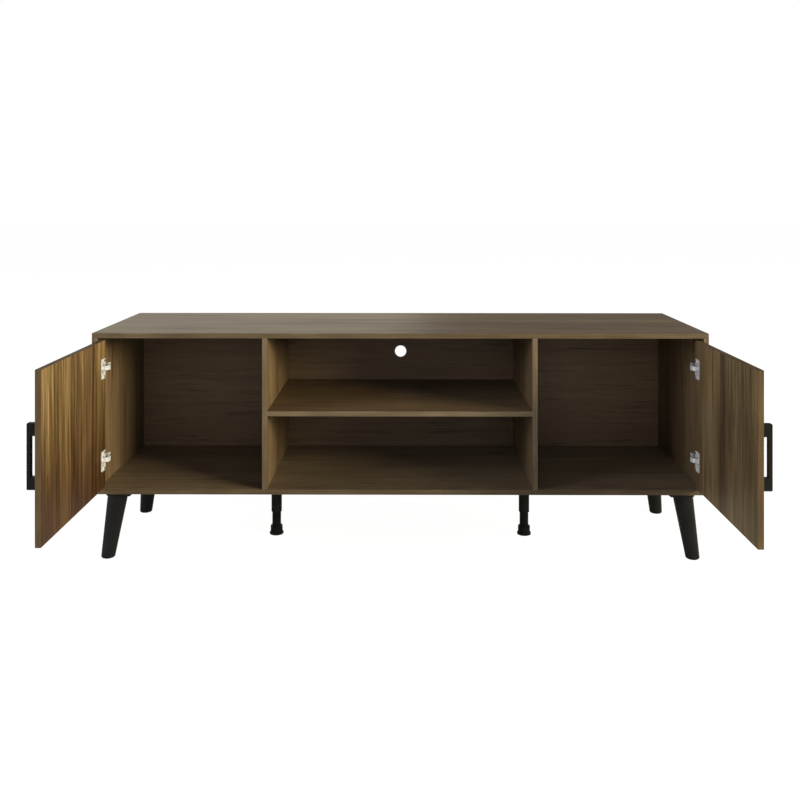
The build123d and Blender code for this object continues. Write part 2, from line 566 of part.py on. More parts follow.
def hinge_arm(z):
    """Cranked arm: an eye on the pin, a tongue out of the cup, a channel over the plate."""
    mouth, crest, shoulder, step = (
        side_point(*point) for point in (ARM_MOUTH, ARM_CREST, ARM_SHOULDER, ARM_STEP)
    )
    end = side_point(ARM_REAR_U, ARM_END_DEPTH)
    foot = side_point(TONGUE_FROM_U, ARM_FOOT_DEPTH)
    cheek_front = [side_point(*point) for point in CHEEK_FRONT]
    with BuildPart() as arm:
        with BuildSketch(Plane.XY.offset(z)):
            with BuildLine():
                Line(PIVOT, foot)
            trace(line_width=ARM_SHEET)
            with Locations(PIVOT):
                Circle(EYE_R)
        extrude(amount=EYE_WIDTH / 2, both=True)
        with BuildSketch(Plane.XY.offset(z)):
            with BuildLine():
                FilletPolyline(foot, mouth, crest, shoulder, radius=ARM_BEND)
            trace(line_width=ARM_SHEET)
        extrude(amount=TONGUE_WIDTH / 2, both=True)
        with BuildSketch(Plane.XY.offset(z)):
            with BuildLine():
                FilletPolyline(crest, shoulder, step, end, radius=ARM_BEND)
            trace(line_width=ARM_SHEET)
        extrude(amount=ARM_WIDTH / 2, both=True)
        for way in (-1, 1):
            with BuildSketch(Plane.XY.offset(z + way * (ARM_WIDTH - CHEEK) / 2)):
                with BuildLine():
                    cheek_end = side_point(CHEEK_U, ARM_END_DEPTH)
                    Polyline(crest, shoulder, step, end, cheek_end, *cheek_front, close=True)
                make_face()
            extrude(amount=CHEEK / 2, both=True)
        rod(Plane.XY.offset(z - ARM_WIDTH), PIN_R + PIN_PLAY, 2 * ARM_WIDTH, [PIVOT], Mode.SUBTRACT)
        tops = [(FRONT_Y + depth, z) for depth in ARM_SCREW_DEPTHS]
        under = inner_face.offset(ARM_REAR_U - ARM_SHEET)
        rod(under, ARM_SCREW_R, 2 * ARM_SHEET, tops, Mode.SUBTRACT)
    return arm


def hinge_plate(z):
    """Mounting plate: two wings screwed to the side panel, a bridge that carries the arm."""
    tops = [(FRONT_Y + depth, z) for depth in ARM_SCREW_DEPTHS]
    wings = [(FRONT_Y + PLATE_MID_DEPTH, z + way * PLATE_SCREW_REACH) for way in (-1, 1)]
    bridge_top = ARM_REAR_U - ARM_SHEET / 2
    bridge_mid = (FRONT_Y + (BRIDGE_FROM + BRIDGE_TO) / 2, z)
    bridge_length = BRIDGE_TO - BRIDGE_FROM
    wing_length = 2 * (PLATE_SCREW_REACH + WING_MARGIN)
    with BuildPart() as plate:
        with BuildSketch(inner_face):
            with Locations((FRONT_Y + PLATE_MID_DEPTH, z)):
                RectangleRounded(WING_WIDTH, wing_length, WING_MARGIN)
        extrude(amount=PLATE_T)
        with BuildSketch(inner_face):
            with Locations(bridge_mid):
                Rectangle(bridge_length, 2 * BRIDGE_HALF)
        extrude(amount=bridge_top)
        with BuildSketch(inner_face.offset(PLATE_T)):
            with Locations(bridge_mid):
                Rectangle(bridge_length, 2 * (BRIDGE_HALF - BRIDGE_WALL))
        extrude(amount=bridge_top - 2 * PLATE_T, mode=Mode.SUBTRACT)
        rod(inner_face, HINGE_SCREW_R, PLATE_T, wings, Mode.SUBTRACT)
        rod(inner_face.offset(bridge_top), ARM_SCREW_R, -PLATE_T, tops, Mode.SUBTRACT)
    return plate


for level, z in HINGE_Z.items():
    save_pair(hinge_cup(z), f"{level}_hinge_cup")
    save_pair(hinge_arm(z), f"{level}_hinge_arm")
    save_pair(hinge_plate(z), f"{level}_hinge_plate")

with BuildPart() as left_hinge_pins:
    for z in HINGE_Z.values():
        rod(Plane.XY.offset(z - PIN_HALF), PIN_R, 2 * PIN_HALF, [PIVOT])
save_pair(left_hinge_pins, "hinge_pins")

SPRING_T = 0.6
SPRING_WIDTH = 6.0
SPRING_BEND = 0.8
SPRING_ENDS = (25.0, 12.4, 11.2)  # its line's points, from the door's hinge edge
SPRING_RISE = 2.0
with BuildPart() as left_hinge_springs:
    for z in HINGE_Z.values():
        with BuildSketch(Plane.XY.offset(z)):
            with BuildLine():
                FilletPolyline(
                    door_point(SPRING_ENDS[0], CUP_FLOOR_T + SPRING_T / 2),
                    door_point(SPRING_ENDS[1], CUP_FLOOR_T + SPRING_T / 2),
                    door_point(SPRING_ENDS[2], CUP_FLOOR_T + SPRING_RISE),
                    radius=SPRING_BEND,
                )
            trace(line_width=SPRING_T)
        extrude(amount=SPRING_WIDTH / 2, both=True)
save_pair(left_hinge_springs, "hinge_springs")

with BuildPart() as left_hinge_cup_screws:
    heads = [(-s, z) for s, z in cup_screw_places]
    bite = CUP_SCREW_BITE + FLANGE_T
    screw(door_inner_out.offset(FLANGE_T), heads, HINGE_SCREW_R, bite, HINGE_SCREW_HEAD)
save_pair(left_hinge_cup_screws, "hinge_cup_screws")

with BuildPart() as left_hinge_mount_screws:
    bite = PLATE_SCREW_BITE + PLATE_T
    screw(inner_face.offset(PLATE_T), plate_screw_places, HINGE_SCREW_R, bite, HINGE_SCREW_HEAD)
    arm_top = inner_face.offset(ARM_REAR_U + ARM_SHEET / 2)
    tops = [(FRONT_Y + depth, z) for z in HINGE_Z.values() for depth in ARM_SCREW_DEPTHS]
    screw(arm_top, tops, ARM_SCREW_R, ARM_SHEET + PLATE_T + ARM_SCREW_TIP, ARM_SCREW_HEAD)
save_pair(left_hinge_mount_screws, "hinge_mount_screws")

# ---- legs -----------------------------------------------------------------------------------
SOLE_PAD_R = 11.0
SOLE_PAD_T = 2.5
LEG_PLATE_Z = LEG_HEIGHT - LEG_PLATE_T


def leg(sx, sy):
    """Tapered round leg, splayed out to its corner, moulded in one with its plate."""
    top_x, top_y = leg_top(sx, sy)
    sole_x, sole_y = top_x + sx * LEG_SPLAY, top_y + sy * LEG_SPLAY
    shift = LEG_PLATE / 2 - LEG_TOP_R
    with BuildPart() as piece:
        with BuildSketch(Plane.XY.offset(PAD_PROUD)):
            with Locations((sole_x, sole_y)):
                Circle(LEG_SOLE_R)
        with BuildSketch(Plane.XY.offset(LEG_PLATE_Z)):
            with Locations((top_x, top_y)):
                Circle(LEG_TOP_R)
        loft()
        fillet(edges().group_by(Axis.Z)[0], LEG_SOLE_EDGE)
        with BuildSketch(Plane.XY.offset(LEG_PLATE_Z)):
            with Locations((top_x - sx * shift, top_y - sy * shift)):
                RectangleRounded(LEG_PLATE, LEG_PLATE, LEG_PLATE_CORNER)
        extrude(amount=LEG_PLATE_T)
        places = leg_screw_places(sx, sy)
        rod(Plane.XY.offset(LEG_PLATE_Z), WOOD_SCREW_R, LEG_PLATE_T, places, Mode.SUBTRACT)
        rod(Plane.XY, SOLE_PAD_R, SOLE_PAD_T, [(sole_x, sole_y)], Mode.SUBTRACT)
    return piece


for name, signs in LEG_PLACES.items():
    save(leg(*signs), name)

with BuildPart() as leg_pads:
    soles = []
    for sx, sy in LEG_PLACES.values():
        x, y = leg_top(sx, sy)
        soles.append((x + sx * LEG_SPLAY, y + sy * LEG_SPLAY))
    rod(Plane.XY, SOLE_PAD_R, SOLE_PAD_T, soles)
save(leg_pads, "leg_pads")

# ---- centre supports ------------------------------------------------------------------------
SUPPORT_FLANGE_R = 25.0
SUPPORT_FLANGE_T = 3.0
SUPPORT_BORE_R = SUPPORT_STEM_R + 0.1
STEM_TOP_Z = 112.0
THREAD_DEPTH = 0.9
COLLAR_CHAMFER = 1.0
GRIP_GROOVES = 24
GRIP_GROOVE_R = 0.9
GRIP_GROOVE_OUT = 0.4  # a groove's middle, out from the collar's face
GRIP_MARGIN = (1.5, 2.5)  # plain band below and above the grooves
TUBE_CHAMFER = 0.8
PAD_EDGES = (2.5, 0.8)  # rounding of the pad's upper and lower edge
SUPPORT_PLACE = (-SUPPORT_X, MID_Y)

with BuildPart() as left_support_tube:
    rod(Plane.XY.offset(SUPPORT_TUBE_Z), SUPPORT_TUBE_R, LEG_HEIGHT - SUPPORT_TUBE_Z, [SUPPORT_PLACE])
    flange_z = LEG_HEIGHT - SUPPORT_FLANGE_T
    rod(Plane.XY.offset(flange_z), SUPPORT_FLANGE_R, SUPPORT_FLANGE_T, [SUPPORT_PLACE])
    bore = flange_z - SUPPORT_TUBE_Z
    rod(Plane.XY.offset(SUPPORT_TUBE_Z), SUPPORT_BORE_R, bore, [SUPPORT_PLACE], Mode.SUBTRACT)
    left_screws = SUPPORT_SCREWS[:3]
    rod(Plane.XY.offset(flange_z), WOOD_SCREW_R, SUPPORT_FLANGE_T, left_screws, Mode.SUBTRACT)
    chamfer(edges().group_by(Axis.Z)[0].sort_by(SortBy.LENGTH)[-1], TUBE_CHAMFER)
save_pair(left_support_tube, "support_tube")

with BuildPart() as left_support_stem:
    stem_plane = Plane(origin=(*SUPPORT_PLACE, 0), x_dir=(1, 0, 0), z_dir=(0, -1, 0))
    root_r = SUPPORT_STEM_R - THREAD_DEPTH
    turns = int((STEM_TOP_Z - SUPPORT_COLLAR_Z) / THREAD_PITCH)
    with BuildSketch(stem_plane):
        with BuildLine():
            points = [(0, STEM_TOP_Z), (root_r, STEM_TOP_Z)]
            for turn in range(turns):
                z = STEM_TOP_Z - turn * THREAD_PITCH
                points.append((root_r, z - THREAD_PITCH * 0.35))
                points.append((SUPPORT_STEM_R, z - THREAD_PITCH * 0.5))
                points.append((SUPPORT_STEM_R, z - THREAD_PITCH * 0.7))
                points.append((root_r, z - THREAD_PITCH * 0.85))
            points += [
                (root_r, SUPPORT_COLLAR_Z),
                (SUPPORT_COLLAR_R - COLLAR_CHAMFER, SUPPORT_COLLAR_Z),
                (SUPPORT_COLLAR_R, SUPPORT_COLLAR_Z - COLLAR_CHAMFER),
                (SUPPORT_COLLAR_R, SUPPORT_PAD_T),
                (0, SUPPORT_PAD_T),
            ]
            Polyline(*points, close=True)
        make_face()
    revolve(axis=Axis((*SUPPORT_PLACE, 0), (0, 0, 1)))
    with BuildSketch(Plane.XY.offset(SUPPORT_PAD_T + GRIP_MARGIN[0])):
        with Locations(SUPPORT_PLACE):
            with PolarLocations(SUPPORT_COLLAR_R + GRIP_GROOVE_OUT, GRIP_GROOVES):
                Circle(GRIP_GROOVE_R)
    extrude(amount=SUPPORT_COLLAR_Z - SUPPORT_PAD_T - sum(GRIP_MARGIN), mode=Mode.SUBTRACT)
save_pair(left_support_stem, "support_stem")

with BuildPart() as left_support_pad:
    rod(Plane.XY, SUPPORT_PAD_R, SUPPORT_PAD_T, [SUPPORT_PLACE])
    fillet(edges().group_by(Axis.Z)[-1], PAD_EDGES[0])
    fillet(edges().group_by(Axis.Z)[0], PAD_EDGES[1])
save_pair(left_support_pad, "support_pad")

with BuildPart() as underside_screws:
    for z, spots in ((flange_z, SUPPORT_SCREWS), (LEG_PLATE_Z, LEG_SCREWS)):
        under = Plane(origin=(0, 0, z), x_dir=(1, 0, 0), z_dir=(0, 0, -1))
        places = [(x, -y) for x, y in spots]
        screw(under, places, WOOD_SCREW_R, LEG_HEIGHT - z + WOOD_SCREW_BITE, WOOD_SCREW_HEAD)
save(underside_screws, "underside_screws")
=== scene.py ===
import json
from math import radians

import bpy
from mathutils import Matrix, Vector


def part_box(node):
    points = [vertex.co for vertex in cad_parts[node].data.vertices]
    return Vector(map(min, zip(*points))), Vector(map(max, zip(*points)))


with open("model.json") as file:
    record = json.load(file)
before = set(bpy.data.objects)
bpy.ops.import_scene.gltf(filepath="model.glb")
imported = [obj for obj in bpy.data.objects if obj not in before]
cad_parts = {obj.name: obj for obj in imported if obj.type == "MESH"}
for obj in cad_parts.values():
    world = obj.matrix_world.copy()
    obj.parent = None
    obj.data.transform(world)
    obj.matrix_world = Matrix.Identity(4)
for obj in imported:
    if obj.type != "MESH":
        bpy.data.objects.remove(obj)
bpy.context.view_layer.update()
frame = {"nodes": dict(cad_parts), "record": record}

# ---- places worked out from the frame -------------------------------------------------------
TOP_LOW, TOP_HIGH = (Vector(corner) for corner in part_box("carcass_edge_bands"))
FRONT_Y = TOP_LOW.y
BACK_Y = TOP_HIGH.y
HALF_WIDTH = TOP_HIGH.x
HEIGHT = TOP_HIGH.z
BACK_THICKNESS = 0.003
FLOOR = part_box("bottom_panel")[1][2]  # upper face of the bottom board
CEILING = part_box("top_panel")[0][2]  # lower face of the top
SHELF_LOW, SHELF_HIGH = (Vector(corner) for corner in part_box("middle_shelf"))
BOARD_HALF = (HEIGHT - CEILING) / 2
BOARD_MIDDLES = (FLOOR - BOARD_HALF, CEILING + BOARD_HALF, SHELF_LOW.z + BOARD_HALF)
DOOR_HINGE_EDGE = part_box("left_door_edge_band")[1][1]  # on Y, as the doors stand open
SKIN = 0.001  # a piece more than this ahead of the carcass front belongs to an open door

# ---- the planks printed on the doors --------------------------------------------------------
PLANK = 0.1335  # width of a plank
LEFT_DOOR_JOINT = 0.0915  # first joint, from the door's hinge edge
RIGHT_DOOR_JOINT = 0.042
PLANK_SHIFT = 0.73  # how far the grain jumps along from one plank to the next
JOINT_LINE = (0.0006, 0.0026)  # distances from a joint at which its dark line fades out
JOINT_SHADE = 0.40
TONE_TURN = 2.95  # radians of the light-and-dark wave from one plank to the next
TONE_START = (0.7854, 3.0)  # where that wave starts: the first times the seed, less the second


# ---- node helpers ---------------------------------------------------------------------------
class Shader:
    """A material with one Principled shader, and short calls for the nodes that feed it."""

    def __init__(self, name, roughness=0.5, metallic=0.0):
        self.material = bpy.data.materials.new(name)
        self.material.use_nodes = True
        self.tree = self.material.node_tree
        self.surface = self.tree.nodes["Principled BSDF"]
        self.surface.inputs["Roughness"].default_value = roughness
        self.surface.inputs["Metallic"].default_value = metallic
        coordinates = self.node("ShaderNodeTexCoord").outputs["Object"]
        split = self.node("ShaderNodeSeparateXYZ")
        self.link(coordinates, split.inputs[0])
        self.place = coordinates
        self.axis = {letter: split.outputs[letter] for letter in "XYZ"}

    def node(self, kind):
        return self.tree.nodes.new(kind)

    def link(self, source, target):
        """source is another node's output, or a plain number or colour."""
        if isinstance(source, (int, float, tuple)):
            target.default_value = source
        else:
            self.tree.links.new(source, target)

    def math(self, operation, *values, clamp=False):
        node = self.node("ShaderNodeMath")
        node.operation = operation
        node.use_clamp = clamp
        for value, socket in zip(values, node.inputs):
            self.link(value, socket)
        return node.outputs[0]

    def vector(self, x, y, z):
        node = self.node("ShaderNodeCombineXYZ")
        for value, socket in zip((x, y, z), node.inputs):
            self.link(value, socket)
        return node.outputs[0]

    def noise(self, vector, scale=1.0, detail=2.0, roughness=0.5, distortion=0.0):
        node = self.node("ShaderNodeTexNoise")
        self.link(vector, node.inputs["Vector"])
        node.inputs["Scale"].default_value = scale
        node.inputs["Detail"].default_value = detail
        node.inputs["Roughness"].default_value = roughness
        node.inputs["Distortion"].default_value = distortion
        return node.outputs["Fac"]

    def spread(self, value, low, high, to_low=0.0, to_high=1.0):
        """value mapped from low..high to to_low..to_high with soft ends."""
        node = self.node("ShaderNodeMapRange")
        node.interpolation_type = "SMOOTHSTEP"
        self.link(value, node.inputs["Value"])
        node.inputs["From Min"].default_value = low
        node.inputs["From Max"].default_value = high
        node.inputs["To Min"].default_value = to_low
        node.inputs["To Max"].default_value = to_high
        return node.outputs["Result"]

    def ramp(self, value, *stops):
        node = self.node("ShaderNodeValToRGB")
        self.link(value, node.inputs[0])
        ramp = node.color_ramp
        while len(ramp.elements) < len(stops):
            ramp.elements.new(0.5)
        for element, (position, colour) in zip(ramp.elements, stops):
            element.position = position
            element.color = (*colour, 1.0)
        return node.outputs["Color"]

    def tint(self, colour, factor, blend="MULTIPLY", amount=1.0):
        """colour blended with factor, a colour or a grey value."""
        node = self.node("ShaderNodeMix")
        node.data_type = "RGBA"
        node.blend_type = blend
        self.link(amount, node.inputs["Factor"])
        self.link(colour, node.inputs["A"])
        self.link(factor, node.inputs["B"])
        return node.outputs["Result"]

    def specular(self, level):
        self.surface.inputs["Specular IOR Level"].default_value = level

    def colour(self, source):
        self.link(source, self.surface.inputs["Base Color"])

    def roughness(self, source):
        self.link(source, self.surface.inputs["Roughness"])

    def bump(self, height, distance, strength=1.0):
        node = self.node("ShaderNodeBump")
        node.inputs["Strength"].default_value = strength
        node.inputs["Distance"].default_value = distance
        self.link(height, node.inputs["Height"])
        self.link(node.outputs["Normal"], self.surface.inputs["Normal"])


# ---- materials ------------------------------------------------------------------------------
PLAIN = (1.0, 1.0, 1.0)
WALNUT = ((0.0, (0.030, 0.0180, 0.0095)), (0.30, (0.070, 0.0450, 0.0240)),
          (0.60, (0.135, 0.0950, 0.0520)), (1.0, (0.230, 0.1780, 0.1080)))
UPRIGHT = ((0.0, (0.044, 0.0290, 0.0160)), (0.30, (0.088, 0.0590, 0.0330)),
           (0.60, (0.142, 0.1010, 0.0580)), (1.0, (0.230, 0.1760, 0.1080)))
DOOR_TONES = ((0.0, (0.027, 0.0165, 0.0088)), (0.30, (0.071, 0.0465, 0.0235)),
              (0.60, (0.131, 0.0920, 0.0475)), (1.0, (0.222, 0.1660, 0.0920)))
# painted light: lighter, greyer tones of the walnut print for the bottom board
PAINTED_LIGHT_FLOOR_TONES = ((0.0, (0.057, 0.0410, 0.0270)), (0.30, (0.114, 0.0840, 0.0550)),
               (0.60, (0.184, 0.1430, 0.0960)), (1.0, (0.300, 0.2500, 0.1780)))
LIGHT_PLANK, DARK_PLANK = (1.12, 1.13, 1.00), (0.88, 0.84, 0.80)
# painted light and shade on the doors: brighter towards the top, darker towards the foot; the red
# at the foot is partly the print's own tone
TOP_LIGHT_TINT, FOOT_SHADE_RED_TINT = (1.88, 1.94, 1.98), (0.38, 0.26, 0.20)
TINT_TURN_FROM, TINT_TURN_TO = 0.30, 0.78  # heights between which the painted light on the doors turns from the darker foot to the brighter top
BROAD, STREAK, FINE = 0.9, 1.0, 0.5  # how far each width of streak moves the tone


class Grain:
    """Noise stretched along a board: run and side are the places along and across its grain."""

    def __init__(self, shader, run, side, layer):
        self.shader = shader
        self.run = run
        self.side = side
        self.layer = layer

    def noise(self, run_scale, side_scale, detail, roughness=0.5):
        place = self.shader.vector(self.shader.math("MULTIPLY", self.run, run_scale),
                                   self.shader.math("MULTIPLY", self.side, side_scale),
                                   self.layer)
        return self.shader.noise(place, detail=detail, roughness=roughness)

    def sway(self):
        """From here on the grain wanders a little to each side."""
        drift = self.shader.math("MULTIPLY", self.noise(2.2, 9.0, 1.0), 0.016)
        ripple = self.shader.math("MULTIPLY", self.noise(10.0, 30.0, 1.0), 0.010)
        self.side = self.shader.math("ADD", self.side, self.shader.math("ADD", drift, ripple))

    def growth(self, depth):
        """Wavy growth rings, darker by depth where two meet."""
        turns = self.shader.math("MULTIPLY", self.noise(1.3, 8.0, 0.5), 15.0)
        return self.shader.spread(self.shader.math("PINGPONG", turns, 0.5), 0.0, 0.2,
                                  1.0 - depth, 1.0)

    def veins(self, depth):
        """Long dark lines."""
        return self.shader.spread(self.noise(2.4, 70.0, 1.0), 0.60, 0.72, 1.0, 1.0 - depth)

    def flecks(self, depth):
        """Short dark marks."""
        return self.shader.spread(self.noise(7.0, 120.0, 1.0), 0.62, 0.74, 1.0, 1.0 - depth)


def plank_marks(shader, colour, planks, index, seed, amount):
    """colour with a dark line at each joint, and some planks lighter than others."""
    share = shader.math("FRACT", planks)
    edge = shader.math("MINIMUM", share, shader.math("SUBTRACT", 1.0, share))
    edge = shader.math("MULTIPLY", edge, PLANK)
    colour = shader.tint(colour, shader.spread(edge, *JOINT_LINE, JOINT_SHADE, 1.0))
    turn = shader.math("MULTIPLY", index, TONE_TURN)
    wave = shader.math("SINE", shader.math("ADD", turn, TONE_START[0] * seed - TONE_START[1]))
    tone = shader.ramp(shader.spread(wave, -1.0, 1.0), (0.0, DARK_PLANK), (1.0, LIGHT_PLANK))
    return shader.tint(colour, tone, amount=amount)


def height_light_and_tone(shader, colour, height, broad, amount):
    """colour painted brighter towards the top and darker, redder towards the foot: painted light
    from above and painted shade at the foot, over the print's own reddish tone.
    """
    foot = shader.math("ADD", height, shader.math("MULTIPLY", broad, 0.30))
    tone = shader.spread(foot, TINT_TURN_FROM, TINT_TURN_TO)
    return shader.tint(colour, shader.ramp(tone, (0.0, FOOT_SHADE_RED_TINT), (1.0, TOP_LIGHT_TINT)), amount=amount)


def laminate(name, along, across, stops=WALNUT, joint=None, seed=0.0, gloss=0.42,
             contrast=1.0, rings=0.25, veins=0.35, flecks=0.5, height_shading=0.0):
    """Printed walnut laminate with its grain along one axis.

    joint is the place, on the across axis, of one joint between the printed planks. rings,
    veins and flecks are how much those marks darken the print, height_shading is how much painted
    light brightens it towards its top and painted shade darkens and reddens it towards its foot,
    and gloss is the middle of its roughness."""
    shader = Shader(name)
    depth = next(letter for letter in "XYZ" if letter not in (along, across))
    side = shader.axis[across]
    run = shader.math("ADD", shader.axis[along], seed)
    if joint is not None:
        planks = shader.math("DIVIDE", shader.math("SUBTRACT", side, joint), PLANK)
        index = shader.math("FLOOR", planks)
        run = shader.math("ADD", run, shader.math("MULTIPLY", index, PLANK_SHIFT))
    grain = Grain(shader, run, side, shader.math("MULTIPLY", shader.axis[depth], 3.0))
    grain.sway()

    broad = grain.noise(1.0, 9.0, 2.0)
    streak = grain.noise(3.2, 90.0, 3.0, 0.6)
    fine = grain.noise(5.0, 260.0, 2.0, 0.6)
    fibre = grain.noise(14.0, 700.0, 2.0, 0.6)
    value = 0.5 - contrast * (BROAD + STREAK + FINE) / 2
    for layer, weight in ((broad, BROAD), (streak, STREAK), (fine, FINE)):
        value = shader.math("ADD", value, shader.math("MULTIPLY", layer, weight * contrast))
    colour = shader.ramp(value, *stops)
    pores = shader.spread(fibre, 0.28, 0.46, 0.74, 1.0)
    for shade in (grain.growth(rings), grain.veins(veins), grain.flecks(flecks), pores):
        colour = shader.tint(colour, shade)
    if joint is not None:
        colour = plank_marks(shader, colour, planks, index, seed, 0.35 + 0.65 * height_shading)
    # painted light: the board painted brighter towards its top, and painted shade darker and
    # redder towards its foot
    if height_shading:
        colour = height_light_and_tone(shader, colour, shader.axis[along], broad, height_shading)
    shader.colour(colour)
    shader.roughness(shader.spread(streak, 0.2, 0.8, gloss + 0.06, gloss - 0.04))
    shader.bump(fibre, 0.00005, 0.5)
    return shader


BAND = ((0.0, (0.040, 0.029, 0.018)), (0.5, (0.079, 0.061, 0.041)),
        (1.0, (0.140, 0.113, 0.080)))
# painted light: the divider and shelf front edges are painted lighter; painted shade: the door
# edges are painted darker
PAINTED_LIGHT_INNER_BAND, PAINTED_SHADE_DOOR_BAND = (1.45, 1.48, 1.58), (0.92, 0.83, 0.73)


def edge_band():
    """Walnut edging: its grain runs up the uprights and the doors, and along the other boards."""
    shader = Shader("edge_band", roughness=0.55)
    shader.specular(0.08)
    x, y, z = (shader.axis[letter] for letter in "XYZ")
    up = shader.vector(shader.math("MULTIPLY", x, 260.0), shader.math("MULTIPLY", y, 260.0),
                       shader.math("MULTIPLY", z, 9.0))
    along = shader.vector(shader.math("MULTIPLY", x, 9.0), shader.math("MULTIPLY", y, 40.0),
                          shader.math("MULTIPLY", z, 260.0))
    level = shader.math("COMPARE", z, BOARD_MIDDLES[0], BOARD_HALF)
    for height in BOARD_MIDDLES[1:]:
        level = shader.math("MAXIMUM", level, shader.math("COMPARE", z, height, BOARD_HALF))
    from_middle = shader.math("ABSOLUTE", x)
    outside = shader.math("GREATER_THAN", from_middle, HALF_WIDTH - BOARD_HALF)
    shelf = shader.math("LESS_THAN", from_middle, SHELF_HIGH.x)
    ends = shader.math("MAXIMUM", shader.math("GREATER_THAN", z, CEILING), outside)
    ends = shader.math("MAXIMUM", ends, shader.math("LESS_THAN", z, FLOOR))
    level = shader.math("MULTIPLY", level, shader.math("MAXIMUM", ends, shelf))
    place = shader.node("ShaderNodeMix")
    place.data_type = "VECTOR"
    shader.link(level, place.inputs["Factor"])
    shader.link(up, place.inputs["A"])
    shader.link(along, place.inputs["B"])

    fine = shader.noise(place.outputs["Result"], detail=3.0, roughness=0.6)
    slow = shader.noise(shader.place, scale=7.0, detail=2.0)
    value = shader.math("ADD", shader.math("MULTIPLY", fine, 0.8),
                        shader.math("MULTIPLY", slow, 0.7))
    colour = shader.ramp(shader.math("SUBTRACT", value, 0.25), *BAND)
    # painted shade: the door edges get a darker copy of the band
    doors = shader.math("LESS_THAN", y, FRONT_Y - SKIN)
    colour = shader.tint(colour, shader.ramp(doors, (0.0, PLAIN), (1.0, PAINTED_SHADE_DOOR_BAND)))
    # painted light: the band on the divider and shelf fronts is painted lighter than on the outer
    # edges
    rim = shader.math("MAXIMUM", ends, doors)
    colour = shader.tint(colour, shader.ramp(rim, (0.0, PAINTED_LIGHT_INNER_BAND), (1.0, PLAIN)))
    shader.colour(colour)
    shader.bump(fine, 0.00004, 0.5)
    return shader


BACK_TINT = (1.14, 1.06, 1.08, 1.0)


def back_board():
    """Thin fibreboard: walnut print inside, bare brown fibres on the rear."""
    shader = laminate("back_board", "X", "Z", seed=4.1, gloss=0.5, contrast=0.35, rings=0.04,
                      veins=0.15, flecks=0.45)
    printed = shader.surface.inputs["Base Color"].links[0].from_socket
    printed = shader.tint(printed, BACK_TINT)
    fleck = shader.noise(shader.place, scale=260.0, detail=6.0, roughness=0.7)
    cloud = shader.noise(shader.place, scale=9.0, detail=3.0)
    bare = shader.ramp(fleck, (0.3, (0.105, 0.062, 0.034)), (0.7, (0.205, 0.135, 0.080)))
    bare = shader.tint(bare, shader.spread(cloud, 0.3, 0.7, 0.86, 1.08))
    rear = shader.math("GREATER_THAN", shader.axis["Y"], BACK_Y - BACK_THICKNESS / 2)
    shader.colour(shader.tint(printed, bare, "MIX", rear))
    return shader


BLACK_SHINE = 0.18


def black_plastic():
    shader = Shader("black_plastic")
    skin = shader.noise(shader.place, scale=900.0, detail=3.0)
    cloud = shader.noise(shader.place, scale=14.0, detail=2.0)
    shader.specular(BLACK_SHINE)
    shader.colour(shader.ramp(cloud, (0.3, (0.0050, 0.0053, 0.0070)),
                              (0.7, (0.0085, 0.0090, 0.0116))))
    shader.roughness(shader.spread(cloud, 0.3, 0.7, 0.36, 0.5))
    shader.bump(skin, 0.00008, 0.5)
    return shader


def black_coat(name, low, high):
    """Powder coat: fine orange peel over steel."""
    shader = Shader(name)
    shader.specular(BLACK_SHINE)
    peel = shader.noise(shader.place, scale=1400.0, detail=2.0)
    wear = shader.noise(shader.place, scale=55.0, detail=5.0, roughness=0.7)
    shader.colour(shader.ramp(wear, (0.35, (0.0048, 0.0052, 0.0066)),
                              (0.8, (0.0100, 0.0106, 0.0130))))
    shader.roughness(shader.spread(wear, 0.3, 0.75, low, high))
    shader.bump(peel, 0.00006, 0.6)
    return shader


def plated(name, pale, dull, low, high, metallic=1.0):
    """Bright plated steel: faint rolling lines and cloudy patches."""
    shader = Shader(name, metallic=metallic)
    stretched = shader.vector(shader.math("MULTIPLY", shader.axis["X"], 300.0),
                              shader.math("MULTIPLY", shader.axis["Y"], 40.0),
                              shader.math("MULTIPLY", shader.axis["Z"], 2200.0))
    lines = shader.noise(stretched, detail=3.0)
    cloud = shader.noise(shader.place, scale=120.0, detail=4.0)
    shader.colour(shader.ramp(cloud, (0.25, dull), (0.7, pale)))
    shader.roughness(shader.spread(lines, 0.3, 0.7, low, high))
    shader.bump(lines, 0.00002, 0.4)
    return shader


def beech():
    shader = Shader("beech", roughness=0.7)
    fleck = shader.noise(shader.place, scale=420.0, detail=4.0)
    shader.colour(shader.ramp(fleck, (0.3, (0.40, 0.25, 0.14)), (0.7, (0.56, 0.39, 0.24))))
    shader.bump(fleck, 0.00008, 0.5)
    return shader


def felt():
    shader = Shader("felt", roughness=0.95)
    wool = shader.noise(shader.place, scale=1600.0, detail=6.0, roughness=0.8)
    shader.colour(shader.ramp(wool, (0.3, (0.010, 0.010, 0.010)), (0.8, (0.055, 0.052, 0.050))))
    shader.bump(wool, 0.0004, 0.8)
    return shader


# The record's material slots, and then the nodes with a finish of their own.
SLOTS = {
    "laminate": laminate("laminate", "X", "Y", seed=1.7, contrast=0.6, rings=0.12, veins=0.2,
                         flecks=0.3),
    "laminate_upright": laminate("laminate_upright", "Z", "Y", stops=UPRIGHT, seed=2.3,
                                 rings=0.14, veins=0.25),
    "back_board": back_board(),
    "edge_band": edge_band(),
    "screw_cover": laminate("screw_cover", "Z", "Y", seed=3.0, gloss=0.5, contrast=0.5),
    "black_plastic": black_plastic(),
    "black_handle": black_coat("black_handle", 0.34, 0.50),
    "black_steel": black_coat("black_steel", 0.38, 0.54),
    "nickel": plated("nickel", (0.76, 0.80, 0.90), (0.48, 0.51, 0.58), 0.28, 0.45, metallic=0.3),
    "zinc": plated("zinc", (0.78, 0.78, 0.77), (0.54, 0.54, 0.52), 0.26, 0.42),
    "beech": beech(),
    "felt": felt(),
}
